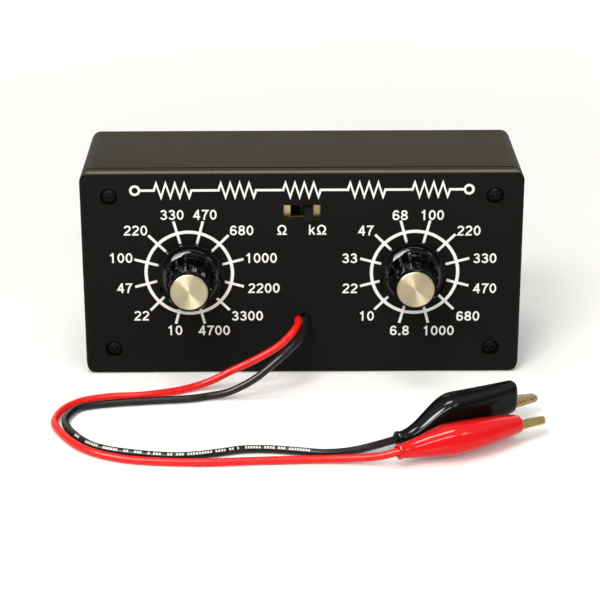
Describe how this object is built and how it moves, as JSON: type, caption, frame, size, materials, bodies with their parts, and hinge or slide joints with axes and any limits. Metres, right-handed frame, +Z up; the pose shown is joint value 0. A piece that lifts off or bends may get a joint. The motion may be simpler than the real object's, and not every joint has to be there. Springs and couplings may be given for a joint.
{
  "type": "resistance substitution box",
  "caption": "Hand-sized black box with rotary value dials, a range slide switch and short test leads that end in booted crocodile clips, for trying resistor values in a circuit.",
  "frame": {"origin": "middle of the case's underside, on the table", "axes": "+X to the right seen from the front panel, +Y from the panel to the back of the case, +Z up"},
  "size_m": [0.1629, 0.13, 0.0745],
  "materials": {
    "case_plastic": "satin black moulded case plastic",
    "screw_black": "black oxide",
    "board": "green solder resist over glass fibre",
    "resistor": "lacquered, colour bands",
    "tinned_metal": "tinned",
    "plated_steel": "nickel plated",
    "shaft_metal": "turned",
    "wiper_bronze": "spring bronze",
    "brass": "turned",
    "switch_moulding": "moulded",
    "phenolic": "laminated sheet",
    "knob_black": "polished moulding",
    "cap_metal": "spun, satin",
    "switch_frame": "yellow zinc plated",
    "slider_black": "moulded",
    "tie": "natural nylon",
    "lead_red": "smooth vinyl",
    "lead_black": "smooth vinyl",
    "boot_red": "glossy vinyl",
    "boot_black": "glossy vinyl",
    "clip_metal": "bright plated",
    "spring_steel": "drawn wire"
  },
  "bodies": {
    "case": {"case_box": "case_plastic", "front_panel": "case_plastic", "panel_screws": "screw_black", "circuit_board": "board", "ohm_resistors": "resistor", "kilohm_resistors": "resistor", "range_wires": "tinned_metal", "lead_tie": "tie", "red_lead": "lead_red", "black_lead": "lead_black", "slide_switch_frame": "switch_frame", "slide_switch_base": "switch_moulding", "slide_switch_terminals": "tinned_metal", "left_switch_housing": "switch_moulding", "left_switch_base": "phenolic", "left_switch_terminals": "tinned_metal", "left_switch_washer": "plated_steel", "left_switch_nut": "plated_steel", "right_switch_housing": "switch_moulding", "right_switch_base": "phenolic", "right_switch_terminals": "tinned_metal", "right_switch_washer": "plated_steel", "right_switch_nut": "plated_steel", "red_clip_lower_jaw": "clip_metal", "red_clip_pin": "plated_steel", "red_clip_spring": "spring_steel", "red_clip_boot": "boot_red", "black_clip_lower_jaw": "clip_metal", "black_clip_pin": "plated_steel", "black_clip_spring": "spring_steel", "black_clip_boot": "boot_black"},
    "left_dial": {"left_switch_shaft": "shaft_metal", "left_switch_wiper": "wiper_bronze", "left_knob": "knob_black", "left_knob_cap": "cap_metal", "left_knob_insert": "brass", "left_knob_set_screw": "screw_black"},
    "right_dial": {"right_switch_shaft": "shaft_metal", "right_switch_wiper": "wiper_bronze", "right_knob": "knob_black", "right_knob_cap": "cap_metal", "right_knob_insert": "brass", "right_knob_set_screw": "screw_black"},
    "range_slider": {"slide_switch_slider": "slider_black", "slide_switch_contact": "wiper_bronze"},
    "red_clip_jaw": {"red_clip_upper_jaw": "clip_metal"},
    "black_clip_jaw": {"black_clip_upper_jaw": "clip_metal"}
  },
  "joints": [
    {"name": "left_dial_turn", "type": "hinge", "parent": "case", "child": "left_dial", "pos_m": [-0.0383, -0.03, 0.03755], "axis": [0, 1, 0], "range_deg": [0, 330]},
    {"name": "right_dial_turn", "type": "hinge", "parent": "case", "child": "right_dial", "pos_m": [0.0383, -0.03, 0.03755], "axis": [0, 1, 0], "range_deg": [0, 330]},
    {"name": "range_slide", "type": "slide", "parent": "case", "child": "range_slider", "axis": [1, 0, 0], "range_m": [-0.0046, 0]},
    {"name": "red_clip_open", "type": "hinge", "parent": "case", "child": "red_clip_jaw", "pos_m": [0.0553, -0.0901, 0.00603], "axis": [-0.1515, 0.3248, 0.9336], "range_deg": [0, 14], "stiffness_Nm_per_rad": 0.06, "springref_deg": -22.92, "deforming": ["red_clip_spring"]},
    {"name": "black_clip_open", "type": "hinge", "parent": "case", "child": "black_clip_jaw", "pos_m": [0.0552, -0.0743, 0.00722], "axis": [0.4695, -0.8829, 0], "range_deg": [0, 14], "stiffness_Nm_per_rad": 0.06, "springref_deg": -22.92, "deforming": ["black_clip_spring"]}
  ]
}
